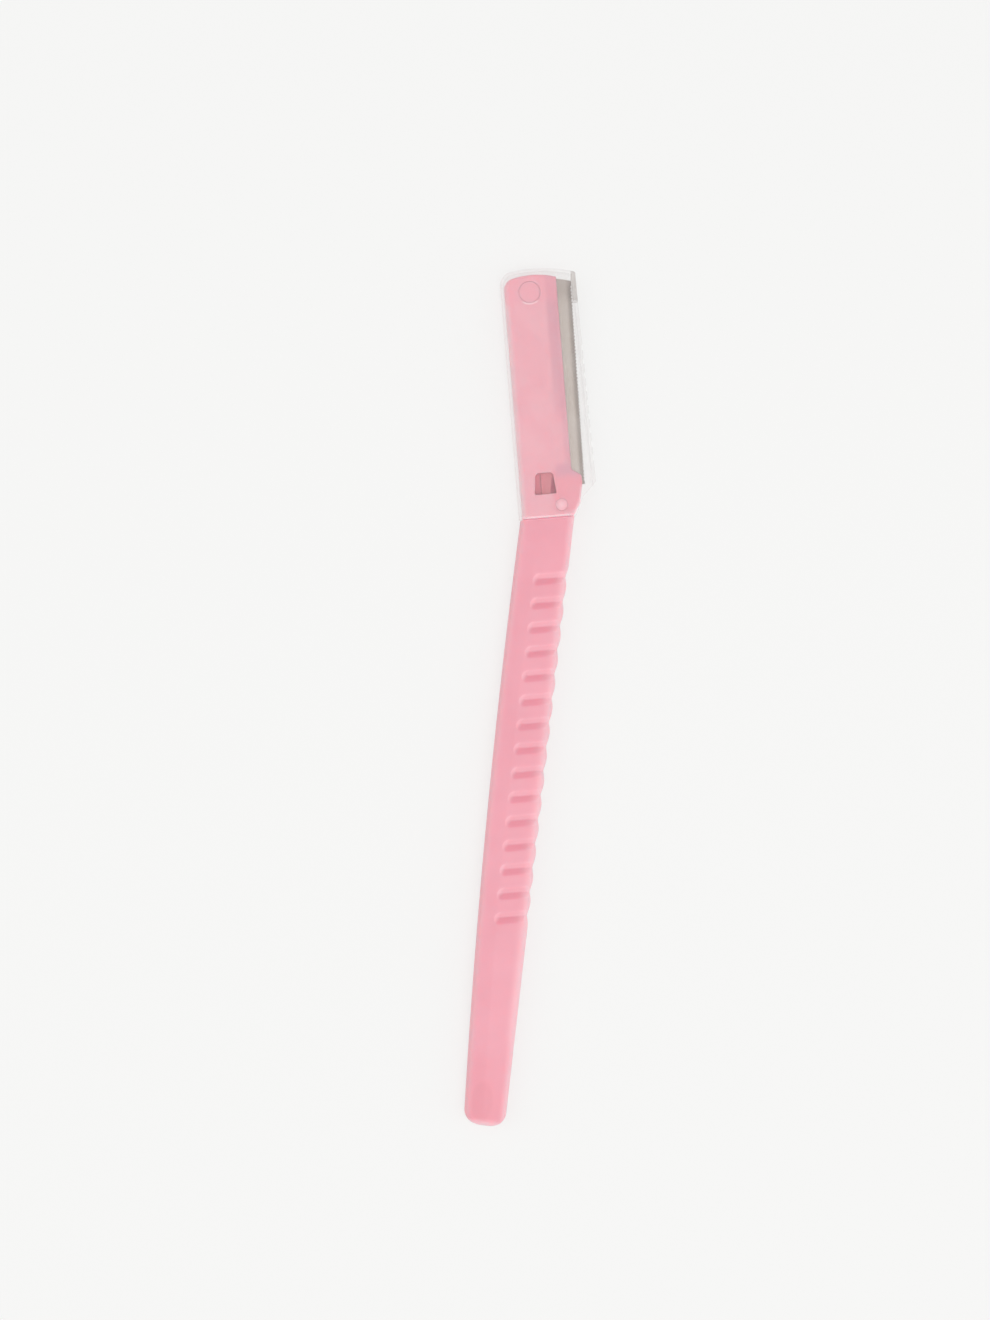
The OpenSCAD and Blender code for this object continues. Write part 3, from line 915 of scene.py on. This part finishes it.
def noise(tree, vector, scale, detail=2.0, roughness=0.5):
    return add(tree, "ShaderNodeTexNoise", {
        "Vector": vector, "Scale": scale, "Detail": detail, "Roughness": roughness,
    }).outputs["Fac"]


def spread(tree, value, low, high, start=0.0, end=1.0, smooth=False):
    """Maps a value from start..end to low..high."""
    node = add(tree, "ShaderNodeMapRange", {
        "Value": value, "From Min": start, "From Max": end, "To Min": low, "To Max": high,
    })
    node.interpolation_type = "SMOOTHSTEP" if smooth else "LINEAR"
    return node.outputs["Result"]


def blend(tree, share, a, b):
    node = add(tree, "ShaderNodeMix", data_type="RGBA")
    for key, value in (("Factor", share), ("A", a), ("B", b)):
        socket = next(s for s in node.inputs if s.name == key and s.enabled)
        if isinstance(value, bpy.types.NodeSocket):
            tree.links.new(value, socket)
        else:
            socket.default_value = value
    return next(s for s in node.outputs if s.enabled)


def multiply(tree, a, b):
    return maths(tree, "MULTIPLY", a, b)


def srgb(r, g, b):
    """Linear colour of an 8-bit screen colour."""
    return tuple(
        c / 12.92 if c <= 0.04045 else ((c + 0.055) / 1.055) ** 2.4 for c in (r / 255, g / 255, b / 255)
    ) + (1.0,)


def mottled(tree, mask, colours):
    """Two colours mixed by a mask."""
    return blend(tree, mask, srgb(*colours[0]), srgb(*colours[1]))


def ramp(tree, value, start, end):
    """Mask that goes smoothly from 0 to 1 as a value goes from start to end, both in millimetres."""
    return spread(tree, value, 0, 1, start * MM, end * MM, smooth=True)


def where_full(tree, share, values, ramps):
    """A share where all the ramps are full, and less of it where they aren't."""
    for name, start, end in ramps:
        share = multiply(tree, ramp(tree, values[name], start, end), share)
    return share


def over(tree, colour, tint, share, values, ramps):
    """Lays a tint over a colour, by a share, where all the ramps are full."""
    return blend(tree, where_full(tree, share, values, ramps), colour, tint)


def lay_tints(tree, colour, values, tints):
    for tint, share, *ramps in tints.values():
        colour = over(tree, colour, srgb(*tint), share, values, ramps)
    return colour


def distance(tree, a, b):
    """Length of a step whose two parts are given."""
    return maths(tree, "SQRT", maths(tree, "ADD", multiply(tree, a, a), multiply(tree, b, b)))


def shifted(tree, value, amount, factor=1.0):
    """value times factor, plus amount."""
    return maths(tree, "MULTIPLY_ADD", value, factor, amount)


def roughen(tree, shader, grain, roughness, bump):
    """Roughness that follows a grain, and its bump, given as strength and height in millimetres."""
    tree.links.new(spread(tree, grain, *roughness, *NOISE_SPAN), shader.inputs["Roughness"])
    uneven(tree, shader, grain, bump)


def uneven(tree, shader, height, bump):
    strength, depth = bump
    node = add(tree, "ShaderNodeBump", {"Height": height, "Strength": strength, "Distance": depth * MM})
    tree.links.new(node.outputs[0], shader.inputs["Normal"])


def groove_place(tree, x, y):
    """Distances from the middle line of the nearest thumb groove and from its round end."""
    along_grip = maths(tree, "MULTIPLY_ADD", x, math.tan(HEAD_TILT), multiply(tree, y, -1.0))
    first = (ORIGIN_Y - GROOVE_START) / GROOVE_PITCH
    phase = shifted(tree, along_grip, first, 1 / (GROOVE_PITCH * MM))
    nearest = maths(tree, "ROUND", phase)
    inside = add(tree, "ShaderNodeClamp", {"Value": nearest, "Min": 0, "Max": GROOVE_N - 1})
    off = maths(tree, "SUBTRACT", phase, inside.outputs[0])
    across = multiply(tree, off, GROOVE_PITCH * MM * math.cos(HEAD_TILT))
    past = maths(tree, "MINIMUM", shifted(tree, x, -GROOVE_X * MM), 0)
    return across, distance(tree, across, past)


def from_left_side(tree, x, y):
    """Distance from the grip's bowed left side."""
    bow_start = (ORIGIN_Y / HANDLE_L - BOW_SHARE) / (1 - BOW_SHARE)
    bow = shifted(tree, y, bow_start, -1 / (HANDLE_L * MM * (1 - BOW_SHARE)))
    left = shifted(tree, multiply(tree, bow, bow), (HANDLE_W - EDGE_X) * MM, (TAIL_W - HANDLE_W) * MM)
    return maths(tree, "ADD", x, left)


def near(tree, x, y, middle_x, middle_y):
    """Distance from a place that is given in millimetres."""
    return distance(tree, shifted(tree, x, -middle_x * MM), shifted(tree, y, -middle_y * MM))


def pink_plastic():
    """Soft pastel moulding, dulled where the blade lies close behind, with painted shade in its grooves
    and window and painted highlights on its rims, mouth and ring.
    """
    material, tree, shader = new_material("pink_plastic")
    spot = add(tree, "ShaderNodeTexCoord").outputs["Object"]
    x, y, z = split(tree, place_on_head(tree))
    row_x, row_y, row_z = split(tree, spot)
    across, reach = groove_place(tree, row_x, row_y)
    drawn_out = shifted(tree, row_y, -SPOT_SHARE * (TAIL_Y + SPOT_Y) * MM, SPOT_SHARE)
    values = {
        "x": x, "y": y, "z": z, "row_x": row_x, "row_y": row_y, "row_z": row_z,
        "from_axis": maths(tree, "ABSOLUTE", x),
        "from_shoulder": near(tree, x, y, RIM_X, RIM_Y),
        "from_ring": near(tree, x, y, 0, BOSS_Y),
        "from_pin": near(tree, x, y, PIN_X, PIN_Y),
        "across": across, "reach": reach,
        "slanted": maths(tree, "MULTIPLY_ADD", across, SLANT_SHARE, row_x),
        "from_spot": distance(tree, shifted(tree, row_x, -SPOT_X * MM), drawn_out),
        "from_left": from_left_side(tree, row_x, row_y),
    }
    cloud = spread(tree, noise(tree, spot, CLOUD_SCALE), 0, 1, *NOISE_SPAN)
    colour = lay_tints(tree, mottled(tree, cloud, PINK), values, HEAD_TINTS)
    colour = lay_tints(tree, colour, values, GRIP_TINTS)
    tree.links.new(colour, shader.inputs["Base Color"])
    grain = noise(tree, spot, GRAIN_SCALE, detail=3)
    roughen(tree, shader, grain, PINK_ROUGHNESS, PINK_BUMP)
    shader.inputs["Subsurface Weight"].default_value = PINK_SUBSURFACE
    shader.inputs["Subsurface Radius"].default_value = PINK_DEPTHS
    shader.inputs["Subsurface Scale"].default_value = MM
    shader.inputs["IOR"].default_value = PINK_IOR
    return material


def ground_steel(name, light, dark, edge, edge_w, roughness, grain_scale):
    """Steel strip with fine grinding lines along the head, darker beside the edge, with painted shade
    towards its top, and a painted pink reflection and painted shade where it shows through the window.
    """
    material, tree, shader = new_material(name)
    head = place_on_head(tree)
    lines = add(tree, "ShaderNodeMapping", {"Vector": head, "Scale": grain_scale})
    grain = noise(tree, lines.outputs[0], *STEEL_GRAIN)
    x, y, _ = split(tree, head)
    values = {
        "x": x, "y": y,
        "to_fold": maths(tree, "MULTIPLY_ADD", y, -FOLD_SLOPE, x),
        "leaning": maths(tree, "MULTIPLY_ADD", y, WINDOW_LEAN, x),
    }
    fold = FOLD_X - SHOULDER_Y * FOLD_SLOPE
    at_fold = ("to_fold", fold - edge_w, fold - edge_w * FOLD_EDGE_SHARE)
    colour = mottled(tree, spread(tree, grain, 0, 1, *NOISE_SPAN), (light, dark))
    # Painted shade towards the top of the steel
    colour = over(tree, colour, srgb(*edge), PAINTED_SHADE_AT_STEEL_TOP_SHARE, values, [PAINTED_SHADE_AT_STEEL_TOP])
    colour = over(tree, colour, srgb(*edge), 1.0, values, [at_fold])
    colour = lay_tints(tree, colour, values, STEEL_TINTS)
    tree.links.new(colour, shader.inputs["Base Color"])
    span = [roughness + change for change in STEEL_ROUGHNESS]
    roughen(tree, shader, grain, span, STEEL_BUMP)
    shader.inputs["Metallic"].default_value = 1
    return material


def clear_plastic():
    """Clear polystyrene with a faint haze, thicker where walls are seen edge-on and at the mouth, where
    it is a painted highlight along the rim, with a painted pink reflection on the wall beside the
    spine.
    """
    material, tree, shader = new_material("clear_plastic")
    spot = add(tree, "ShaderNodeTexCoord").outputs["Object"]
    cloud = noise(tree, spot, HAZE_SCALE)
    tree.links.new(spread(tree, cloud, *CLEAR_ROUGHNESS, *NOISE_SPAN), shader.inputs["Roughness"])
    uneven(tree, shader, noise(tree, spot, RIPPLE_SCALE, detail=1), CLEAR_BUMP)
    x, y, _ = split(tree, place_on_head(tree))
    values = {"x": x, "y": y, "from_mouth": distance(tree, x, y)}
    colour = lay_tints(tree, mottled(tree, cloud, CLEAR), values, CLEAR_TINTS)
    tree.links.new(colour, shader.inputs["Base Color"])
    facing = add(tree, "ShaderNodeLayerWeight", {"Blend": EDGE_BLEND}).outputs["Facing"]
    haze = spread(tree, cloud, *CLEAR_HAZE, *NOISE_SPAN)
    haze = maths(tree, "ADD", haze, multiply(tree, facing, EDGE_HAZE))
    # More haze at the mouth, a painted highlight along the rim, and in the solid corner
    for share, ramps in ((MOUTH_HIGHLIGHT_HAZE, AT_MOUTH), (BLOCK_HAZE, IN_BLOCK)):
        haze = maths(tree, "ADD", haze, where_full(tree, share, values, ramps))
    tree.links.new(haze, shader.inputs["Alpha"])
    shader.inputs["IOR"].default_value = CLEAR_IOR
    rays = add(tree, "ShaderNodeLightPath")
    through = add(tree, "ShaderNodeBsdfTransparent", {"Color": CLEAR_SHADOW})
    show_mix(tree, rays.outputs["Is Shadow Ray"], shader.outputs[0], through.outputs[0])
    return material


def show_mix(tree, share, a, b):
    """Makes a mix of two shaders the material's surface."""
    mix = add(tree, "ShaderNodeMixShader", {0: share, 1: a, 2: b})
    tree.links.new(mix.outputs[0], tree.nodes["Material Output"].inputs["Surface"])


# Pieces

pink = pink_plastic()
finish_piece(make_handle(), "razor", pink, ["handle"])
finish_piece(make_cover(), "razor", pink, ["head_cover"])
finish_piece(make_cap(), "cap", clear_plastic(), ["cap"])
for node, slot in (("blade", "blade_steel"), ("guard", "guard_foil")):
    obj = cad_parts[node]
    obj.data.materials.clear()
    obj.data.materials.append(ground_steel(node + "_steel", *STEELS[node]))


# Floor, light and camera, in metres

BACKDROP = (246, 246, 245)
FLOOR = ((247, 247, 246), (245, 245, 244))
FLOOR_SIDE = 3.0
FLOOR_ROUGHNESS = 0.9
# Share of plain backdrop in the floor near the object, and where it grows to all of it
BACKDROP_SHARE = 0.75
FLOOR_FADE = (0.16, 0.4)
WORLD_LIGHT = 0.62
# Lamps: place to the right, down and up in the picture's own directions, side and power
LAMPS = {
    "key": (0.2, 0.24, 0.95, 0.65, 3.1),
    "side": (0.7, 0.17, 0.35, 0.5, 0.64),
    "fill": (-0.6, -0.05, 0.6, 0.7, 1.25),
}
PICTURE_RIGHT = Vector((math.cos(PICTURE_LEAN), math.sin(PICTURE_LEAN), 0))
PICTURE_UP = Vector((-math.sin(PICTURE_LEAN), math.cos(PICTURE_LEAN), 0))
# Light that goes in through the cap and out again crosses up to this many of its surfaces
CLEAR_SURFACES = 24


def seen_directly(tree):
    """1 for what the camera sees, straight, by gloss or through plastic, and 0 for light."""
    rays = add(tree, "ShaderNodeLightPath").outputs
    either = maths(tree, "MAXIMUM", rays["Is Camera Ray"], rays["Is Glossy Ray"])
    return maths(tree, "MAXIMUM", either, rays["Is Transmission Ray"])


def make_floor():
    """Pale floor that keeps a faint shadow of the object and is plain backdrop further out."""
    half = FLOOR_SIDE / 2
    corners = [(-half, -half, 0), (half, -half, 0), (half, half, 0), (-half, half, 0)]
    mesh = bpy.data.meshes.new("floor")
    mesh.from_pydata(corners, [], [(0, 1, 2, 3)])
    floor = bpy.data.objects.new("floor", mesh)
    bpy.context.scene.collection.objects.link(floor)
    material, tree, shader = new_material("pale_floor")
    spot = add(tree, "ShaderNodeTexCoord").outputs["Object"]
    tree.links.new(mottled(tree, noise(tree, spot, SPECK_SCALE), FLOOR), shader.inputs["Base Color"])
    shader.inputs["Roughness"].default_value = FLOOR_ROUGHNESS
    shader.inputs["Specular IOR Level"].default_value = 0
    glow = add(tree, "ShaderNodeEmission", {"Color": srgb(*BACKDROP), "Strength": 1.0})
    out = add(tree, "ShaderNodeVectorMath", {0: spot}, operation="LENGTH").outputs["Value"]
    share = spread(tree, out, BACKDROP_SHARE, 1, *FLOOR_FADE, smooth=True)
    show_mix(tree, multiply(tree, seen_directly(tree), share), shader.outputs[0], glow.outputs[0])
    mesh.materials.append(material)


def make_world():
    """Even light from all round; what the camera, gloss and clear plastic see is the backdrop."""
    world = bpy.data.worlds.new("studio")
    bpy.context.scene.world = world
    world.use_nodes = True
    tree = world.node_tree
    light = tree.nodes["Background"]
    light.inputs["Color"].default_value = (1, 1, 1, 1)
    light.inputs["Strength"].default_value = WORLD_LIGHT
    seen = add(tree, "ShaderNodeBackground", {"Color": srgb(*BACKDROP), "Strength": 1.0})
    mix = add(tree, "ShaderNodeMixShader", {
        0: seen_directly(tree), 1: light.outputs[0], 2: seen.outputs[0],
    })
    tree.links.new(mix.outputs[0], tree.nodes["World Output"].inputs["Surface"])


def make_lamp(name, right, down, height, size, power):
    """Square lamp aimed at the object."""
    lamp = bpy.data.objects.new(name, bpy.data.lights.new(name, "AREA"))
    lamp.data.size = size
    lamp.data.energy = power
    lamp.location = PICTURE_RIGHT * right - PICTURE_UP * down + Vector((0, 0, height))
    lamp.rotation_mode = "QUATERNION"
    lamp.rotation_quaternion = (-lamp.location).to_track_quat("-Z", "Y")
    bpy.context.scene.collection.objects.link(lamp)


def make_camera():
    """Camera straight above, with the picture's framing and lean."""
    camera = bpy.data.objects.new("camera", bpy.data.cameras.new("camera"))
    right = (PICTURE[0] / 2 - MOUTH_PIXEL[0]) / PIXELS_PER_MM * MM
    rise = (MOUTH_PIXEL[1] - PICTURE[1] / 2) / PIXELS_PER_MM * MM
    mouth = Vector((0, ORIGIN_Y * MM, HANDLE_T / 2 * MM))
    middle = mouth + PICTURE_RIGHT * right + PICTURE_UP * rise
    camera.location = middle + Vector((0, 0, CAMERA_DISTANCE))
    camera.rotation_euler = (0, 0, PICTURE_LEAN)
    camera.data.sensor_width = SENSOR
    camera.data.lens = SENSOR * CAMERA_DISTANCE / (PICTURE[1] / PIXELS_PER_MM * MM)
    bpy.context.scene.collection.objects.link(camera)
    bpy.context.scene.camera = camera


make_floor()
make_world()
for name, lamp in LAMPS.items():
    make_lamp(name, *lamp)
make_camera()
bpy.context.scene.view_settings.view_transform = "Standard"
bpy.context.scene.cycles.transparent_max_bounces = CLEAR_SURFACES
